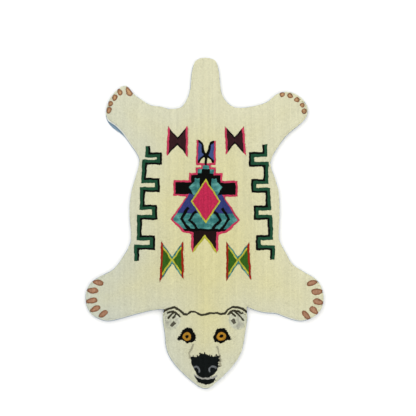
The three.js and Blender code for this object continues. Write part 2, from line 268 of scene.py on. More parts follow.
class Shader:
    """A material under construction: its nodes are added one by one and linked by value."""

    def __init__(self, name):
        self.material = bpy.data.materials.new(name)
        self.material.use_nodes = True
        self.tree = self.material.node_tree
        self.surface = self.tree.nodes["Principled BSDF"]
        self.place = self.add("ShaderNodeTexCoord").outputs["Object"]

    def fill(self, node, inputs):
        for key, value in inputs.items():
            if isinstance(value, bpy.types.NodeSocket):
                self.tree.links.new(value, node.inputs[key])
            else:
                node.inputs[key].default_value = value

    def add(self, kind, inputs=(), **settings):
        node = self.tree.nodes.new(kind)
        for key, value in settings.items():
            setattr(node, key, value)
        self.fill(node, dict(inputs))
        return node

    def attribute(self, name):
        return self.add("ShaderNodeAttribute", attribute_name=name).outputs["Fac"]

    def noise(self, scale, detail=2.0):
        """Noise with so many features to the metre, along X, Y and Z."""
        scaled = self.add("ShaderNodeMapping", {"Vector": self.place, "Scale": scale}).outputs["Vector"]
        inputs = {"Vector": scaled, "Scale": 1.0, "Detail": detail}
        return self.add("ShaderNodeTexNoise", inputs).outputs["Fac"]

    def sum(self, base, *terms):
        """base plus each value's distance from its middle, times its weight."""
        total = base
        for value, weight in terms:
            total = self.math("ADD", total, self.math("MULTIPLY_ADD", value, weight, -weight / 2))
        return total

    def span(self, value, low, high, start=0.0, end=1.0):
        """Runs from low to high while value runs from start to end."""
        limits = {"Value": value, "From Min": start, "From Max": end, "To Min": low, "To Max": high}
        return self.add("ShaderNodeMapRange", limits).outputs[0]

    def math(self, operation, *inputs):
        return self.add("ShaderNodeMath", dict(enumerate(inputs)), operation=operation).outputs[0]

    def vector(self, operation, *inputs):
        node = self.add("ShaderNodeVectorMath", dict(enumerate(inputs)), operation=operation)
        return node.outputs["Value" if operation in ("LENGTH", "DOT_PRODUCT") else "Vector"]

    def mix(self, share, first, second):
        """A colour between two colours, each a list or another node's output."""
        inputs = {0: share, 6: first, 7: second}
        for key in (6, 7):
            if not isinstance(inputs[key], bpy.types.NodeSocket):
                inputs[key] = (*inputs[key], 1.0)
        return self.add("ShaderNodeMix", inputs, data_type="RGBA").outputs[2]

    def finish(self, colour, light, roughness, height, bump, sheen=0.0, specular=0.2):
        """Links colour times light, roughness and bump, the height in metres of the finest relief."""
        lit = self.add("ShaderNodeVectorMath", {0: colour, "Scale": light}, operation="SCALE").outputs[0]
        relief = self.add("ShaderNodeBump", {"Height": height, "Strength": 0.7, "Distance": bump})
        self.fill(self.surface, {
            "Base Color": lit, "Roughness": roughness, "Normal": relief.outputs["Normal"],
            "Specular IOR Level": specular, "Sheen Weight": sheen, "Sheen Roughness": 0.6,
        })
        return self.material


FIBRES = (2300, 2300, 420)
PLIES = (620, 620, 160)
ROWS = (120, 5, 5)
BROAD = (7, 7, 7)
PATCHY = (22, 9, 9)
TEAL_STREAKS = (38, 80, 60)
# Areas that are another yarn's colour at their border.
EDGED_WITH = {
    "ear_grey": linear(196, 198, 175), "front_claw": YARNS["claw_edge"][0],
    "hind_claw": YARNS["claw_edge"][0], "amber": YARNS["amber_edge"][0],
}
# The cream wool is cool at the rug's edge and yellowest round the middle of the shoulders; it is also
# painted darker towards the head and left and lighter towards the tail and right, as painted light.
SHADED_SIDE_CREAM = linear(192, 195, 179)
LIT_SIDE_CREAM = linear(206, 204, 174)
WARM_CREAM = linear(203, 198, 150)
LIGHT_FALL = (1.0, 0.5, 0.0)  # it is brighter this way across the rug
LIGHT_FALL_START, LIGHT_FALL_END = -0.4, 0.2
WARM_SHAPE = (1.5, 1.2, 0)
WARM_MIDDLE = (0, 0.144, 0)
# Painted highlight: the outermost cream tufts are painted lighter, where the side of the pile catches the
# light at the rug's edge.
EDGE_HIGHLIGHT = 1.12  # how much lighter the outermost tufts are
EDGE_HIGHLIGHT_REACH = 5 * MM


def cream_colour(shader, broad):
    """The cream wool's colour over the rug, with its painted fall of light, and how much lighter it is at
    the edge as a painted highlight.
    """
    rim = shader.attribute("rim")
    away = shader.vector("LENGTH", shader.vector("MULTIPLY_ADD", shader.place, WARM_SHAPE, WARM_MIDDLE))
    patchy = shader.noise(PATCHY)
    warmth = shader.sum(0.26, (rim, 0.6), (away, -1.0), (broad, 0.7), (patchy, 0.25))
    across = shader.span(shader.vector("DOT_PRODUCT", shader.place, LIGHT_FALL), 0, 1, LIGHT_FALL_START, LIGHT_FALL_END)
    colour = shader.mix(warmth, shader.mix(across, SHADED_SIDE_CREAM, LIT_SIDE_CREAM), WARM_CREAM)
    return colour, shader.span(rim, EDGE_HIGHLIGHT, 1.0, 0, EDGE_HIGHLIGHT_REACH / RIM_REACH)


def wool(yarn):
    """Cut wool: each tuft and each row has its own tone, and its fibres show as fine flecks."""
    if f"wool_{yarn}" in bpy.data.materials:
        return bpy.data.materials[f"wool_{yarn}"]
    shader = Shader(f"wool_{yarn}")
    colour = YARNS[yarn][0]
    fibres = shader.noise(FIBRES, 3.0)
    plies = shader.noise(PLIES)
    rows = shader.noise(ROWS)
    broad = shader.noise(BROAD)
    cream = yarn == "cream"
    light = shader.sum(
        1.0, (shader.attribute("tone"), 0.2 if cream else 0.6), (rows, 0.14 if cream else 0.3),
        (broad, 0.12), (fibres, 0.5), (plies, 0.3),
    )
    # The cream wool's colour carries painted light: a fall of light across the rug and a highlight on its
    # outermost tufts.
    if cream:
        colour, edge_highlight = cream_colour(shader, broad)
        light = shader.math("MULTIPLY", light, edge_highlight)
    elif yarn in EDGED_WITH:
        from_border = shader.sum(shader.attribute("inset"), (plies, 0.5))
        colour = shader.mix(from_border, EDGED_WITH[yarn], colour)
    elif yarn == "teal":
        streaks = shader.sum(0.2, (shader.noise(TEAL_STREAKS, 3.0), 3.6))
        colour = shader.mix(streaks, colour, YARNS["light_teal"][0])
    else:
        worn = [0.85 * value + 0.0012 for value in colour]
        colour = shader.mix(shader.span(fibres, 0.0, 0.5), colour, worn)
    height = shader.sum(0.5, (fibres, 0.7), (plies, 0.5))
    return shader.finish(
        colour, light, shader.span(fibres, 0.85, 1.0), height, 0.9 * MM,
        sheen=0.12 if cream else 0.015, specular=0.05,
    )


def woven(name, colour, thread, stripes=()):
    """Plain-woven cloth with so wide a thread: warp and weft pass over each other by turns.

    Stripes are (distance from the foot of the pile, colour), read from the point value "from_pile".
    """
    shader = Shader(name)
    wave = {"Vector": shader.place, "Scale": math.pi / (20 * thread), "Distortion": 0.3}
    across, along = (
        shader.add("ShaderNodeTexWave", wave, bands_direction=direction, wave_profile="SIN").outputs["Fac"]
        for direction in "XY"
    )
    turn = shader.add("ShaderNodeTexChecker", {"Vector": shader.place, "Scale": 1 / thread}).outputs["Fac"]
    weave = shader.add("ShaderNodeMix", {0: turn, 2: across, 3: along}).outputs[0]
    slubs = shader.noise((240, 900, 400), 3.0)
    broad = shader.noise((9, 9, 9))
    light = shader.sum(1.0, (weave, 0.5), (slubs, 0.5), (broad, 0.2))
    worn = [0.75 * value + 0.06 for value in colour]
    colour = shader.mix(shader.span(slubs, 0.0, 0.6), colour, worn)
    from_pile = shader.attribute("from_pile") if stripes else None
    for (start, _), (end, stripe) in zip(stripes, stripes[1:]):
        colour = shader.mix(shader.span(from_pile, 0, 1, start, end), colour, stripe)
    height = shader.sum(0.5, (weave, 1.0), (slubs, 0.4))
    return shader.finish(colour, light, shader.span(slubs, 0.7, 0.95), height, 0.35 * MM)


def latex():
    """Dried latex: a dull yellowish film with trowel marks and small bubbles."""
    shader = Shader("dried_latex")
    marks = shader.noise((60, 14, 30), 3.0)
    bubbles = shader.noise((900, 900, 900))
    colour = shader.mix(marks, linear(206, 196, 166), linear(226, 218, 190))
    light = shader.sum(1.0, (bubbles, 0.15))
    height = shader.sum(0.5, (marks, 1.0), (bubbles, 0.3))
    return shader.finish(colour, light, shader.span(marks, 0.35, 0.6), height, 0.3 * MM)


# ---- planting

FACE_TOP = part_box("eye_left_surround")[1].y
PILE_EDGE = as_segments([min(top_loops("edge_binding"), key=lambda loop: np.ptp(loop[:, 0]))])


class Bed:
    """The places planted so far, kept by square so that no two tufts stand too close."""

    def __init__(self, cell):
        self.cell = cell
        self.places = {}

    def has_room(self, x, y, spacing):
        column, row = int(x // self.cell), int(y // self.cell)
        for i in (column - 1, column, column + 1):
            for j in (row - 1, row, row + 1):
                for other_x, other_y in self.places.get((i, j), ()):
                    if (other_x - x) ** 2 + (other_y - y) ** 2 < spacing ** 2:
                        return False
        return True

    def plant(self, points, spacing):
        kept = []
        for x, y in points:
            if self.has_room(x, y, spacing):
                self.places.setdefault((int(x // self.cell), int(y // self.cell)), []).append((x, y))
                kept.append((x, y))
        return np.array(kept).reshape(-1, 2)

    def gaps(self, low, high, step, spacing):
        """Places of a fine grid that no tuft planted so far is near."""
        planted = [(x, y, 0) for places in self.places.values() for x, y in places]
        tree = kdtree.KDTree(len(planted))
        for i, place in enumerate(planted):
            tree.insert(place, i)
        tree.balance()
        fine = rows_of_points(low, high, step, step)
        free = [place for place in fine if (tree.find((*place, 0))[2] or 0) > spacing]
        return np.array(free).reshape(-1, 2)


def anticlockwise(outline):
    return outline if signed_area(outline) > 0 else outline[::-1]


def rows_of_points(low, high, pitch, stitch):
    """A staggered field of places in rows along Y."""
    columns = np.arange(math.floor(low[0] / pitch), math.ceil(high[0] / pitch) + 1)
    stitches = np.arange(math.floor(low[1] / stitch), math.ceil(high[1] / stitch) + 1)
    column, number = (grid.ravel() for grid in np.meshgrid(columns, stitches, indexing="ij"))
    return np.stack([column * pitch, (number + (column % 2) * 0.5) * stitch], axis=1)


# Spacing from other tufts and distance from a border, as shares of the pitch.
ROW_ROOM = (0.75, 0.42)  # for rows along the borders
FIELD_ROOM = (0.78, 0.8)  # for rows up and down the rug
GAP_ROOM = (0.62, 0.18)  # for the gaps left between them


def plant_area(ground, patches, pitch):
    """Tuft places in one area of pile, for each patch of yarn in it.

    The patches are (piece name, yarn, outlines), from the ground colour up, and a later one covers the
    ones before it. Returns {piece name: (places, distance to the nearest change of colour)}.
    """
    low, high = extent(ground)
    borders = as_segments(ground + [outline for _, _, outlines in patches for outline in outlines])
    bed = Bed(pitch)
    covers = []
    planted = {}
    for name, _, outlines in reversed(patches):
        outlines = [anticlockwise(outline) for outline in outlines]
        rows = [shifted(loop, -pitch / 2) for loop in ground + outlines]
        rows += [shifted(cover, pitch / 2) for cover in covers]
        stitch = pitch * STITCH_SHARE
        along = np.concatenate([spaced(row, stitch)[0] for row in rows])
        field = rows_of_points(low, high, pitch, stitch)
        field = field + rng.normal(0, 0.07 * pitch, field.shape)
        found = []
        for points, (spacing, clearance) in ((along, ROW_ROOM), (field, FIELD_ROOM), (None, GAP_ROOM)):
            if points is None:
                points = bed.gaps(low, high, pitch / 4, spacing * pitch)
            points = points[inside(points, ground)]
            if outlines:
                points = points[np.any([inside(points, [outline]) for outline in outlines], axis=0)]
            if covers:
                points = points[~np.any([inside(points, [cover]) for cover in covers], axis=0)]
            if len(points):
                points = points[to_border(points, borders)[0] >= clearance * pitch]
                found.append(bed.plant(points, spacing * pitch))
        places = np.concatenate(found) if found else np.zeros((0, 2))
        distance = to_border(places, borders)[0] if len(places) else np.zeros(0)
        planted[name] = (places, distance)
        covers += outlines
    return planted


STRAY = 0.45 * MM
FACE_STRAY = 0.3 * MM


def wandering(points):
    """How far the hand-guided tufting gun strays from the drawn pattern, most of all in the face."""
    x, y = points.T
    strays = np.stack([
        np.sin(210 * y + 60 * x + 0.7) + np.sin(-95 * y + 170 * x) + 0.6 * np.sin(430 * y + 2.1),
        np.sin(190 * x - 70 * y + 1.9) + np.sin(110 * x + 150 * y) + 0.6 * np.sin(410 * x + 0.3),
    ], axis=1)
    face = np.clip((FACE_TOP - y) / (30 * MM), 0, 1)
    near_edge = np.clip(to_border(points, PILE_EDGE)[0] / (8 * MM), 0, 1)
    return strays * (near_edge * (STRAY + FACE_STRAY * face))[:, None]


def sheared(points):
    """How far the hand-sheared pile stands above or below its level."""
    x, y = points.T
    waves = np.sin(31 * x + 17 * y + 1.3) + np.sin(-23 * x + 37 * y + 0.4) + np.sin(71 * x - 11 * y)
    return 0.14 * MM * waves


# ---- tufts

SIDES = 6  # of a tuft or a thread
EAR_INSET = 10 * MM  # how far from its border the inner ear is all grey
YARN_INSET = 4.0 * MM  # the same for the darker borders of the claws and irises
NAP = mm([0.1, -0.35])  # the pile leans a little towards the head
# A bloomed tuft's rings from the top down: distance below its top, and share of its radius.
CROWN = [(0.1 * MM, 0.74), (0.75 * MM, 1.0)]
FOOT_SHARE = 0.8
FRAY = 0.3 * MM  # how unevenly the ends of a tuft's fibres are cut
CUT = 0.14 * MM  # how unevenly the tufts are cut among themselves
SIZE_RANGE = (0.93, 1.08)
WOBBLE = (0.82, 1.18)  # how unevenly a tuft is round
LAYOUT_REACH = (0.2, 0.32, 0.46)  # where each ring lies in the tuft's cell of the baking layout
EDGE_SIZE = 0.86  # size of the tufts of the outermost row
LEAN_RANGE = 0.05  # how far tufts lean at random, as a share of the pitch
EDGE_LEAN_RANGE = 0.1
BLOOM_OVER_BORDER = 0.8 * MM  # how far a tuft may spread over a change of colour
BLOOM_OVER_EDGE = 0.7 * MM


def filled(outlines, step, margin):
    """Triangles that fill some outlines, as flat points and faces.

    A staggered grid of so wide a step is used as corners too, where it is farther in than the margin.
    """
    spare = rows_of_points(*extent(outlines), step, step)
    spare = spare[inside(spare, outlines)]
    spare = spare[to_border(spare, as_segments(outlines))[0] > margin]
    flat = [Vector(point) for outline in outlines for point in outline]
    sides = []
    for outline in outlines:
        start = len(sides)
        sides += [(start + i, start + (i + 1) % len(outline)) for i in range(len(outline))]
    flat += [Vector(point) for point in spare]
    points, _, faces, *_ = geometry.delaunay_2d_cdt(flat, sides, [], 0, 1e-7)
    points, faces = np.array(points), np.array(faces)
    faces = faces[inside(points[faces].mean(axis=1), outlines)]
    first, second = points[faces[:, 1]] - points[faces[:, 0]], points[faces[:, 2]] - points[faces[:, 0]]
    turn = first[:, 0] * second[:, 1] - first[:, 1] * second[:, 0]
    faces = faces[np.abs(turn) > 1e-12]
    turn = turn[np.abs(turn) > 1e-12]
    faces[turn < 0] = faces[turn < 0][:, ::-1]
    used, index = np.unique(faces, return_inverse=True)
    return points[used], index.reshape(-1, 3)


def closed_slab(points, faces, low, high):
    """A closed body between two heights over flat triangles; a height may differ from point to point."""
    count = len(points)
    vertices = np.vstack([np.column_stack([points, np.zeros(count) + z]) for z in (low, high)])
    forward = {(a, b) for face in faces.tolist() for a, b in zip(face, face[1:] + face[:1])}
    walls = [[a, b, b + count, a + count] for a, b in sorted(forward) if (b, a) not in forward]
    lid = (faces + count).tolist()
    return vertices, lid + faces[:, ::-1].tolist() + walls


def packed_yarn(ground):
    """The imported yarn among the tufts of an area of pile, as vertices and faces of a closed body."""
    outlines = [shifted(loop, -GROUND_INSET) for loop in ground]
    points, faces = filled(outlines, GROUND_SLOPE / 2, GROUND_SLOPE / 4)
    share = np.clip(to_border(points, PILE_EDGE)[0] / GROUND_SLOPE, 0.1, 1)
    return closed_slab(points, faces, CANVAS_TOP + 0.2 * MM, CANVAS_TOP + GROUND_RISE * share)


def tuft_bodies(places, pitch, border, inset_reach):
    """Vertices, faces, baking layout and per-point values of many tufts."""
    count = len(places)
    places = places + wandering(places)
    to_edge, nearest = to_border(places, PILE_EDGE)
    outward = (nearest - places) / np.maximum(to_edge, 0.1 * MM)[:, None]
    fall = EDGE_FALL * np.clip(1 - to_edge / EDGE_REACH, 0, 1) ** 2
    carve = CARVE_DEPTH * np.clip(1 - border / CARVE_REACH, 0, 1)
    top = PILE_TOP + sheared(places) - fall - carve + rng.normal(0, CUT, count)
    depth = np.where(to_edge < OUTER_ROWS, top - CANVAS_TOP, TUFT_DEPTH)
    lean = NAP + outward * (EDGE_LEAN * np.clip(1.4 - to_edge / EDGE_ROW, 0, 1))[:, None]
    at_edge = to_edge < EDGE_ROW
    lean_range = np.where(at_edge, EDGE_LEAN_RANGE, LEAN_RANGE)[:, None] * pitch
    lean = lean + rng.normal(0, 1, (count, 2)) * lean_range
    radius = pitch * TUFT_SPREAD * rng.uniform(*SIZE_RANGE, count) * np.where(at_edge, EDGE_SIZE, 1)
    radius = np.minimum(radius, np.minimum(border + BLOOM_OVER_BORDER, to_edge + BLOOM_OVER_EDGE))
    column = np.round(places[:, 0] / pitch).astype(int)
    row_tone = np.random.default_rng(7).uniform(-1, 1, 4096)[column % 4096]
    tone = np.clip(0.5 + 0.16 * row_tone + rng.normal(0, 0.13, count), 0, 1)

    angles = np.arange(SIDES) * 2 * math.pi / SIDES + rng.uniform(0, math.pi, count)[:, None]
    around = np.stack([np.cos(angles), np.sin(angles)], axis=2)
    rings = CROWN + [(depth, FOOT_SHARE)]
    layers = [np.column_stack([places + lean, top])[:, None]]
    for drop, share in rings:
        wobble = rng.uniform(*WOBBLE, (count, SIDES, 1))
        centre = places + lean * (1 - (drop / depth) ** 2)[:, None]
        flat = centre[:, None] + around * wobble * (radius * share)[:, None, None]
        fray = rng.uniform(-FRAY, FRAY, (count, SIDES, 1)) * (share != FOOT_SHARE)
        height = (top - drop)[:, None, None] + fray
        layers.append(np.concatenate([flat, height], axis=2))
    vertices = np.concatenate(layers, axis=1)
    each = vertices.shape[1]

    side = np.arange(SIDES)
    after = (side + 1) % SIDES
    faces = [[0, 1 + i, 1 + j] for i, j in zip(side, after)]
    for ring in range(len(rings) - 1):
        upper, lower = 1 + ring * SIDES, 1 + (ring + 1) * SIDES
        faces += [[upper + i, lower + i, lower + j, upper + j] for i, j in zip(side, after)]
    foot = 1 + (len(rings) - 1) * SIDES
    faces.append([foot + i for i in side[::-1]])

    # Each tuft has a square cell of the baking layout, with its top in the middle.
    reach = np.concatenate([[0]] + [np.full(SIDES, r) for r in LAYOUT_REACH])
    turn = np.concatenate([[0]] + [side * 2 * math.pi / SIDES] * len(rings))
    layout = 0.5 + reach[:, None] * np.stack([np.cos(turn), np.sin(turn)], axis=1)
    return {
        "vertices": vertices.reshape(-1, 3), "each": each, "faces": faces, "layout": layout, "count": count,
        "tone": np.repeat(tone, each), "rim": np.repeat(np.clip(to_edge / RIM_REACH, 0, 1), each),
        "inset": np.repeat(np.clip((border - pitch / 2) / inset_reach, 0, 1), each),
    }


def set_point_values(mesh, name, values):
    mesh.attributes.new(name, "FLOAT", "POINT").data.foreach_set("value", values.astype(np.float32))


def add_piece(name, mesh, material, node):
    """Puts a mesh on the rug's one body, for a CAD node where it stands for one."""
    mesh.materials.append(material)
    piece = bpy.data.objects.new(name, mesh)
    bpy.context.scene.collection.objects.link(piece)
    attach(piece, "root")
    if node:
        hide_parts(node)
    return piece


def tuft_piece(name, yarn, node, tufts, slab=None):
    """One piece of pile: its tufts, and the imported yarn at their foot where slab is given."""
    count, each = tufts["count"], tufts["each"]
    slab_vertices, slab_faces = slab or (np.zeros((0, 3)), [])
    vertices = np.vstack([tufts["vertices"], slab_vertices])
    pattern = np.concatenate([np.array(face) for face in tufts["faces"]])
    corners = (pattern[None] + np.arange(count)[:, None] * each).ravel()
    sizes = np.tile([len(face) for face in tufts["faces"]], count)
    if slab_faces:
        extra = np.concatenate([np.array(face) for face in slab_faces]) + count * each
        corners = np.concatenate([corners, extra])
        sizes = np.concatenate([sizes, [len(face) for face in slab_faces]])

    mesh = bpy.data.meshes.new(name)
    mesh.vertices.add(len(vertices))
    mesh.vertices.foreach_set("co", vertices.astype(np.float32).ravel())
    mesh.loops.add(len(corners))
    mesh.loops.foreach_set("vertex_index", corners.astype(np.int32))
    mesh.polygons.add(len(sizes))
    mesh.polygons.foreach_set("loop_start", (np.cumsum(sizes) - sizes).astype(np.int32))
    mesh.polygons.foreach_set("loop_total", sizes.astype(np.int32))
    mesh.update(calc_edges=True)
    mesh.shade_smooth()

    cells = math.ceil(math.sqrt(count + 1))
    cell = np.stack([np.arange(count) % cells, np.arange(count) // cells], axis=1)
    in_cell = np.concatenate([
        tufts["layout"][face] if len(face) < SIDES else np.zeros((SIDES, 2)) for face in tufts["faces"]
    ])
    layout = (cell[:, None] + in_cell[None]).reshape(-1, 2) / cells
    if slab_faces:
        flat = slab_vertices[:, :2]
        share = (flat - flat.min(axis=0)) / np.ptp(flat, axis=0).max() * 0.9 + 0.05
        last = np.array([count % cells, count // cells])
        lying = (last + share[extra - count * each]) / cells
        layout = np.concatenate([layout, lying])
    mesh.uv_layers.new(name="OFBake").data.foreach_set("uv", layout.astype(np.float32).ravel())
    for field, filler in (("tone", 0.25), ("rim", 0.5), ("inset", 0.5)):
        set_point_values(mesh, field, np.concatenate([tufts[field], np.full(len(slab_vertices), filler)]))
    add_piece(name, mesh, wool(yarn), node)


# ---- areas of yarn

def offset_band(line, near, far):
    """The band between two distances to the left of an open line, as a closed outline."""
    def side(distance):
        left = left_of(unit(np.diff(line, axis=0)))
        joined = np.vstack([left[:1], left[:-1] + left[1:], left[-1:]])
        mitre = np.ones(len(line))
        mitre[1:-1] = 2 / (joined[1:-1] ** 2).sum(axis=1)
        return line + joined * (distance * mitre)[:, None]
    return np.vstack([side(near), side(far)[::-1]])


def notch_bands(node, near, far):
    """Bands along both notches of an hourglass, inside its core."""
    loop = top_loops(node)[0]
    before, after = loop - np.roll(loop, 1, axis=0), np.roll(loop, -1, axis=0) - loop
    notches = np.flatnonzero(before[:, 0] * after[:, 1] - before[:, 1] * after[:, 0] < 0)
    count = len(loop)
    return [offset_band(loop[[(i - 1) % count, i, (i + 1) % count]], near, far) for i in notches]


# The figure's own upright centreline: where its middle is, and how far the figure is turned.
FIGURE_AT = middle_of("figure_diamond") + mm([-0.6, 17.2])
FIGURE_TURN = math.radians(-0.8)


def on_figure(points):
    """Points in millimetres from the figure's middle, as places on the rug."""
    u, v = mm(points).T
    cos, sin = math.cos(FIGURE_TURN), math.sin(FIGURE_TURN)
    return FIGURE_AT + np.stack([u * cos - v * sin, u * sin + v * cos], axis=1)


def on_both_sides(points):
    return [on_figure(points), on_figure(mirror(points))]


def lines(width, *routes):
    return [line_area(mm(route), width * MM) for route in routes]


def arc(x, y, radius, start, end, count=9):
    turn = np.radians(np.linspace(start, end, count))
    return np.stack([x + radius * np.cos(turn), y + radius * np.sin(turn)], axis=1)


NECK_BLOCK = [[-9.5, 72.5], [9.5, 72.5], [9.5, 82.5], [-9.5, 82.5]]
SQUARE = [[11, 59.5], [23, 59.5], [23, 71.5], [11, 71.5]]
SHOULDER = [
    [16.5, 46.5], [23, 44.5], [30, 46.5], [30.5, 35], [39, 29.5], [47.5, 22], [40, 13], [33, -2], [10, -2],
    [16.5, 20],
]
FLANK = [[33, -1], [46, 3], [80, -51], [0, -51], [0, -20]]
OUTER_ZIGZAG = [[47, -36], [56.5, -50], [65.5, -67], [54, -83.5], [42, -97]]
INNER_ZIGZAG = [[24, -46.5], [32.5, -53], [43.3, -70], [28.5, -84], [21, -97]]
TAIL_BAR = [[-62, -92], [62, -92], [62, -100], [-62, -100]]
UNDER_TAIL = [[-35, -167], [-31, -147], [0, -105], [31, -147], [35, -167], [0, -120.5]]
WING = [[22.5, 146], [13, 138.7], [12, 127.5], [11, 118], [6.5, 111], [12, 106], [17.5, 100.5], [22.5, 94]]
WINDOW = [[3.8, 103.5], [3.8, 87], [18, 87], [13, 98], [6, 103.5]]
ZIGZAG_WIDTH = 7.8

EAR_HAIRS = {
    "left": lines(
        5.2, [[-104, -251], [-97, -247], [-88, -245.5], [-80, -247], [-72.5, -254], [-66, -261]],
        [[-86, -248], [-93, -256], [-103, -265]], [[-79, -250], [-81.5, -258], [-89, -264.5]]),
    "right": lines(
        5.2, [[63.5, -255], [69.5, -249], [76, -244.5], [85.5, -242], [94, -244], [101.5, -250.5],
              [107, -249]],
        [[84.5, -245], [93, -253], [100.5, -260.5], [108, -271]], [[75, -249], [80, -254], [86, -259]]),
}
EAR_SPOT = {
    "left": lines(9, [[-82, -274], [-87, -279], [-92, -285]]),
    "right": lines(10, [[77, -266], [80.5, -271.5], [83.5, -278]]),
}


def ragged(loop, spacing, length, width):
    """Short locks that stand out from a closed outline, as where two yarns are tufted unevenly."""
    feet, ahead = spaced(anticlockwise(loop), spacing)
    out = -left_of(ahead)
    locks = []
    for i, (foot, forward, away) in enumerate(zip(feet, ahead, out)):
        half, reach = forward * width / 2, length * (0.55, 1.0, 0.75, 0.3, 0.9)[i % 5]
        root = foot - away * width / 2
        tip = foot + away * reach + forward * width * (0.4, -0.3, 0.1)[i % 3]
        locks.append(np.array([root - half, root + half, tip + half / 2, tip - half / 2]))
    return locks


def ragged_edge(node, length, spacing=4.6, width=3.0):
    return ragged(top_loops(node)[0], spacing * MM, length * MM, width * MM)


def nose_fringe():
    """Longer locks, only where the nose's outline faces up."""
    locks = ragged_edge("nose", 6.3, 6.8, 4.6)
    return [lock for lock in locks if lock[2, 1] > lock[0, 1] + 0.5 * MM]


zigzags = [
    line_area(on_figure(side), ZIGZAG_WIDTH * MM)
    for route in (OUTER_ZIGZAG, INNER_ZIGZAG) for side in (route, mirror(route))
]

# What is tufted inside one area of pile: (name, yarn, outlines), a later one over the ones before it.
PATCHES = {
    "figure_edge": [("figure_under_tail_line", "yellow", [on_figure(UNDER_TAIL)])],
    "figure_body": [
        ("figure_neck_and_shoulders", "teal", [
            on_figure(NECK_BLOCK), *on_both_sides(SQUARE), *on_both_sides(SHOULDER)]),
        ("figure_flanks", "purple", on_both_sides(FLANK)),
        ("figure_body_zigzags", "black", zigzags),
        ("figure_wings", "pale_purple", on_both_sides(WING)),
        ("figure_windows", "cream", on_both_sides(WINDOW)),
    ],
    "figure_skirt": [("figure_skirt_zigzags", "black", zigzags)],
    "figure_tail": [("figure_tail_bar", "black", [on_figure(TAIL_BAR)])],
    "nose": [("nostrils", "nostril_grey", lines(
        4.8, arc(-24.5, -407.5, 10, -35, 150), arc(24, -407.5, 11, 30, 215)))],
    "head_pile": [
        ("muzzle_lines", "faint_grey", lines(
            5.5, [[-31, -335], [-37, -348], [-42, -358], [-42, -377]],
            [[34, -342], [38, -354], [44, -377], [43, -397]])),
        ("ear_tips", "charcoal", EAR_HAIRS["left"] + EAR_HAIRS["right"]),
        ("ear_spot_edges", "ear_spot", EAR_SPOT["left"] + EAR_SPOT["right"]),
        ("face_fringes", "black", [
            *nose_fringe(), *ragged_edge("eye_left_surround", 2.6),
            *ragged_edge("eye_right_surround", 2.6), *ragged_edge("lip", 1.8)]),
    ],
}
for side in ("left", "right"):
    PATCHES[f"ear_{side}_pile"] = [
        (f"ear_{side}_hairs", "charcoal", EAR_HAIRS[side]),
        (f"ear_{side}_spot", "ear_spot", EAR_SPOT[side]),
    ]
    green, dark = f"hourglass_green_{side}_core", f"hourglass_dark_{side}_core"
    PATCHES[green] = [
        (f"hourglass_green_{side}_inner_lines", "yellow", notch_bands(green, 3.6 * MM, 7.8 * MM)),
        (f"hourglass_green_{side}_outer_lines", "teal", notch_bands(green, -0.2 * MM, 3.6 * MM)),
    ]
    PATCHES[dark] = [
        (f"hourglass_dark_{side}_outer_lines", "black", notch_bands(dark, -0.2 * MM, 3.5 * MM)),
    ]


# The main yarn of each area of pile whose name holds one of these words; the others are black.
MAIN_YARNS = (
    ("nose", "nose_black"), ("lip", "nose_black"), ("front_", "front_claw"), ("hind_", "hind_claw"),
    ("iris", "amber"), ("green_left_core", "leaf"), ("green_right_core", "leaf"),
    ("dark_left_core", "maroon"), ("dark_right_core", "maroon"), ("hourglass_green", "red"),
    ("hourglass_dark", "pink"), ("meander_left_green", "dark_green"),
    ("meander_right_green", "dark_green"), ("ear_", "ear_grey"), ("neck_line", "charcoal"),
    ("mouth_line", "mouth_grey"), ("diamond_border", "yellow"), ("figure_edge", "pink"),
    ("figure_diamond", "deep_pink"), ("figure_skirt", "teal"), ("figure_tail", "dark_maroon"),
    ("body_pile", "cream"), ("head_pile", "cream"),
)
BODY_STRIPS = 8  # lengths that the back's pile is made in, to keep each mesh a fair size
THIN_AREAS = (
    "neck_line", "lip", "mouth_line", "strip", "black", "border", "figure_edge", "figure_body", "iris",
    "pupil", "surround",
)


def make_pile(node):
    ground = top_loops(node)
    yarn = next((yarn for word, yarn in MAIN_YARNS if word in node), "black")
    pitch = MOTIF_PITCH
    if yarn == "cream":
        pitch = BODY_PITCH
    elif any(word in node for word in THIN_AREAS):
        pitch = LINE_PITCH
    main = f"{node}_tufts"
    patches = [(main, yarn, [])]
    patches += [(f"{name}_tufts", other, outlines) for name, other, outlines in PATCHES.get(node, [])]
    inset_reach = EAR_INSET if yarn == "ear_grey" else YARN_INSET
    slab = packed_yarn(ground)
    planted = plant_area(ground, patches, pitch)
    for name, colour, _ in patches:
        places, border = planted[name]
        if node == "body_pile":
            limits = np.quantile(places[:, 1], np.arange(1, BODY_STRIPS) / BODY_STRIPS)
            strips = np.digitize(places[:, 1], limits)
            for i in range(BODY_STRIPS):
                some = strips == i
                tufts = tuft_bodies(places[some], pitch, border[some], inset_reach)
                tuft_piece(f"{name}_{i + 1}", colour, node, tufts, slab if i == 0 else None)
        elif len(places):
            tufts = tuft_bodies(places, pitch, border, inset_reach)
            tuft_piece(name, colour, node, tufts, slab if name == main else None)


BASE_LAYERS = ("backing_cloth", "latex_bond", "tufting_canvas", "edge_binding")
for node in sorted(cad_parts):
    if node not in BASE_LAYERS:
        make_pile(node)


# ---- base layers

def plain_piece(name, vertices, faces, material, node, smooth=True):
    mesh = bpy.data.meshes.new(name)
    mesh.from_pydata(vertices.tolist(), [], [list(face) for face in faces])
    if smooth:
        mesh.shade_smooth()
    return add_piece(name, mesh, material, node)


def inward(loop):
    """Unit directions into the rug at each point of its anticlockwise outline."""
    return left_of(unit(np.roll(loop, -1, axis=0) - np.roll(loop, 1, axis=0)))


BINDING_BLUE = linear(100, 128, 152)
PALE_BLUE = linear(138, 162, 180)
DEEP_BLUE = linear(62, 88, 114)
LIP_WHITE = linear(246, 246, 238)
LIP_SHARES = np.array([0.0, 0.2, 0.4, 0.55, 0.7, 0.82, 1.0])
STRIPE_SPAN = 12 * MM
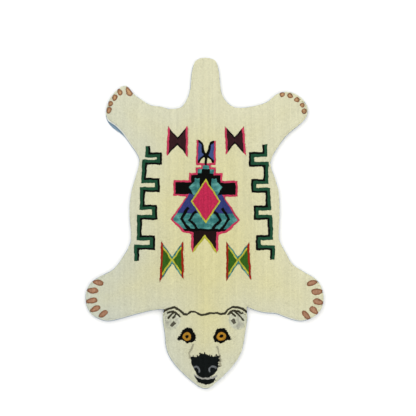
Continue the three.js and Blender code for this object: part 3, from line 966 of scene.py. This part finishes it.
# The cloth's lip outwards from the foot of the pile: a near-white band next to the pile, then woven
# stripes.
LIP_STRIPES = [
    (3.8 * MM, LIP_WHITE), (4.6 * MM, PALE_BLUE), (6.4 * MM, DEEP_BLUE), (8.2 * MM, PALE_BLUE),
    (STRIPE_SPAN, BINDING_BLUE),
]
BINDING_STEP = 3 * MM
HEM = 12 * MM
HEM_GAP = 0.5 * MM  # between the hem and the backing cloth inside it
# The folded cloth's section, as millimetres in from the rug's edge and up: its outer face, then its inner.
UNDER_RUG = [(HEM / MM, 0.1), (6, 0.05), (1.3, 0.02)]
FOLD = [(0.35, 0.25), (0.0, 1.2), (0.0, 3.5), (0.35, 4.45)]
LINING = [(1.35, 3.9), (1.05, 3.5), (1.05, 1.45), (1.4, 1.15), (6, 1.1), (HEM / MM, 1.05)]


def make_binding():
    """The binding cloth, folded under the rug, up round its edge and in to the foot of the pile."""
    edge = rounded(max(top_loops("edge_binding"), key=lambda loop: np.ptp(loop[:, 0])), BINDING_STEP)
    into = inward(edge)
    lip = np.maximum(to_border(edge, PILE_EDGE)[0], 1.4 * MM)
    for _ in range(4):
        lip = (np.roll(lip, 1) + 2 * lip + np.roll(lip, -1)) / 4
    top = LIP_TOP / MM
    puckers = 0.12 * np.sin(np.arange(len(edge)) * 1.9) + 0.1 * np.sin(np.arange(len(edge)) * 0.73)
    all_round = np.ones(len(edge))
    rings = [(s * all_round, z * all_round) for s, z in UNDER_RUG + FOLD]
    before_lip = len(rings)
    for share in LIP_SHARES:
        inwards = 1.2 + (lip / MM - 1.2) * share
        rings.append((inwards, top - 0.05 - 0.15 * share + puckers * share))
    rings.append((lip / MM, (top - 0.9) * all_round))
    after_lip = len(rings)
    rings += [(s * all_round, z * all_round) for s, z in LINING]
    vertices = np.concatenate([
        np.column_stack([edge + into * (s * MM)[:, None], z * MM]) for s, z in rings
    ])
    count, turns = len(edge), len(rings)
    faces = [
        [k * count + i, k * count + (i + 1) % count,
         (k + 1) % turns * count + (i + 1) % count, (k + 1) % turns * count + i]
        for k in range(turns) for i in range(count)
    ]
    weave = woven("binding_weave", LIP_WHITE, 0.9 * MM, stripes=LIP_STRIPES)
    binding = plain_piece("binding_cloth", vertices, faces, weave, "edge_binding")
    from_pile = np.full((len(rings), len(edge)), STRIPE_SPAN)
    from_pile[before_lip:after_lip] = [lip - s * MM for s, _ in rings[before_lip:after_lip]]
    set_point_values(binding.data, "from_pile", from_pile.ravel())
    length = np.linalg.norm(np.diff(np.vstack([edge, edge[:1]]), axis=0), axis=1).sum()
    return edge, into, lip


THREAD_BLUE = linear(150, 168, 184)
ACROSS = (0.31, 0.17, 0.93)  # a direction that no stitch runs along


def stitches(name, routes, radius, material):
    """Each route is a few points of one short piece of thread."""
    vertices, faces = [], []
    turn = np.arange(SIDES) * 2 * math.pi / SIDES
    for route in routes:
        forward = unit(np.gradient(route, axis=0))
        side = unit(np.cross(forward, ACROSS))
        up = np.cross(side, forward)
        start = len(vertices)
        for i, point in enumerate(route):
            share = 0.55 if i in (0, len(route) - 1) else 1.0
            ring = point + radius * share * (
                np.cos(turn)[:, None] * side[i] + np.sin(turn)[:, None] * up[i])
            vertices += ring.tolist()
        for k in range(len(route) - 1):
            for i in range(SIDES):
                a, b = start + k * SIDES + i, start + k * SIDES + (i + 1) % SIDES
                faces.append([a, a + SIDES, b + SIDES, b])
        faces.append([start + i for i in range(SIDES)])
        faces.append([start + (len(route) - 1) * SIDES + i for i in range(SIDES)][::-1])
    plain_piece(name, np.array(vertices), faces, material, None)


def twisted_thread(name, colour):
    """Two-ply sewing thread: a fine twist, with a painted highlight that makes it lighter on its high side.
    """
    shader = Shader(name)
    twist = shader.add(
        "ShaderNodeTexWave", {"Vector": shader.place, "Scale": 90.0, "Distortion": 1.5},
        bands_direction="DIAGONAL").outputs["Fac"]
    fluff = shader.noise((2500, 2500, 2500))
    light = shader.sum(1.0, (twist, 0.3), (fluff, 0.3))
    height = shader.sum(0.5, (twist, 1.0), (fluff, 0.3))
    colour = shader.mix(fluff, colour, [0.8 * value + 0.1 for value in colour])
    return shader.finish(colour, light, shader.span(fluff, 0.6, 0.85), height, 0.1 * MM)


OVERCAST = [(0.9, 4.95), (0.25, 4.7), (-0.12, 4.0), (-0.16, 2.6), (-0.1, 1.2), (0.3, 0.45)]  # in and up
SLANT = 0.55 * MM  # how far each point of an overcast stitch lies past the one before
HEM_STITCH = [(0, 0.7), (0.28, 0.32), (1.12, 0.32), (1.4, 0.7)]  # share of a step along, and up in mm


def make_stitches(edge, into):
    thread = twisted_thread("binding_thread", THREAD_BLUE)
    overcast = []
    for i in range(0, len(edge), 2):
        ahead = np.array([into[i][1], -into[i][0]])
        overcast.append(np.array([
            [*(edge[i] + into[i] * s * MM + ahead * SLANT * k), z * MM] for k, (s, z) in enumerate(OVERCAST)
        ]))
    stitches("overcast_stitches", overcast, 0.35 * MM, thread)
    running = []
    for i in range(0, len(edge) - 1, 3):
        a = edge[i] + into[i] * (HEM - 1.5 * MM)
        b = edge[i + 1] + into[i + 1] * (HEM - 1.5 * MM)
        running.append(np.array([[*(a + (b - a) * share), z * MM] for share, z in HEM_STITCH]))
    stitches("hem_stitches", running, 0.3 * MM, thread)


BACKING_GREY = linear(150, 158, 166)
BACKING_GRID = 9 * MM
BACKING_MARGIN = 4 * MM


def make_backing(edge):
    """The cloth under the rug: one woven sheet inside the hem, slightly puckered by the latex above it."""
    outline = rounded(top_loops("backing_cloth")[0], BINDING_STEP)
    distance, nearest = to_border(outline, as_segments([edge]))
    outline = nearest + (outline - nearest) * ((HEM + HEM_GAP) / distance)[:, None]
    points, faces = filled([outline], BACKING_GRID, BACKING_MARGIN)
    x, y = points.T
    puckers = 0.1 * MM * (2 + np.sin(90 * x + 40 * y) + np.sin(-50 * x + 120 * y + 1))
    vertices, faces = closed_slab(points, faces, 0.1 * MM + puckers, BACKING_TOP - 0.05 * MM)
    weave = woven("backing_weave", BACKING_GREY, 1.3 * MM)
    cloth = plain_piece(
        "backing_sheet", vertices, faces, weave, "backing_cloth", smooth=False)
    area = abs(signed_area(outline))


edge, into, lip = make_binding()
make_stitches(edge, into)
make_backing(edge)
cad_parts["latex_bond"].material_slots[0].material = latex()
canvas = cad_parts["tufting_canvas"]
canvas.material_slots[0].material = woven("canvas_weave", linear(214, 206, 180), 1.6 * MM)
canvas_outline = top_loops("tufting_canvas")
abs(sum(signed_area(loop) for loop in canvas_outline))


# ---- camera, light and floor

scene = bpy.context.scene
ELEVATION = math.radians(88)
DISTANCE = 7.0
VIEW_HEIGHT = 1.152  # of the frame, at the rug
AIM = Vector((0.0096, 0.0411, PILE_TOP))

camera = bpy.data.objects.new("camera", bpy.data.cameras.new("camera"))
scene.collection.objects.link(camera)
scene.camera = camera
camera.location = AIM + DISTANCE * Vector((0, -math.cos(ELEVATION), math.sin(ELEVATION)))
camera.rotation_euler = (AIM - camera.location).to_track_quat("-Z", "Y").to_euler()
camera.data.sensor_width = 36
camera.data.lens = camera.data.sensor_width * DISTANCE / VIEW_HEIGHT

scene.view_settings.view_transform = "Standard"
scene.world = bpy.data.worlds.new("studio")
scene.world.use_nodes = True
sky = scene.world.node_tree.nodes["Background"]
sky.inputs["Color"].default_value = (1.0, 0.995, 0.985, 1)
sky.inputs["Strength"].default_value = 0.93


def soft_light(name, place, size, power):
    light = bpy.data.objects.new(name, bpy.data.lights.new(name, "AREA"))
    light.data.shape = "SQUARE"
    light.data.size = size
    light.data.energy = power
    light.location = place
    light.rotation_euler = (-Vector(place)).to_track_quat("-Z", "Y").to_euler()
    scene.collection.objects.link(light)


soft_light("key", (-0.9, 1.6, 2.5), 2.6, 30)
soft_light("fill", (1.5, -1.0, 2.6), 2.6, 14)

FLOOR_HALF = 4.0
FLOOR_LEVEL = -0.2 * MM
floor = bpy.data.objects.new("floor", bpy.data.meshes.new("floor"))
corners = [(FLOOR_HALF * x, FLOOR_HALF * y, FLOOR_LEVEL) for x, y in ((-1, -1), (1, -1), (1, 1), (-1, 1))]
floor.data.from_pydata(corners, [], [(0, 1, 2, 3)])
scene.collection.objects.link(floor)
paper = Shader("pale_floor")
grain = paper.noise((300, 300, 300))
shade = paper.mix(grain, (0.93, 0.93, 0.93), (0.96, 0.96, 0.96))
floor.data.materials.append(paper.finish(shade, 1.0, paper.span(grain, 0.85, 0.95), grain, 0.05 * MM))
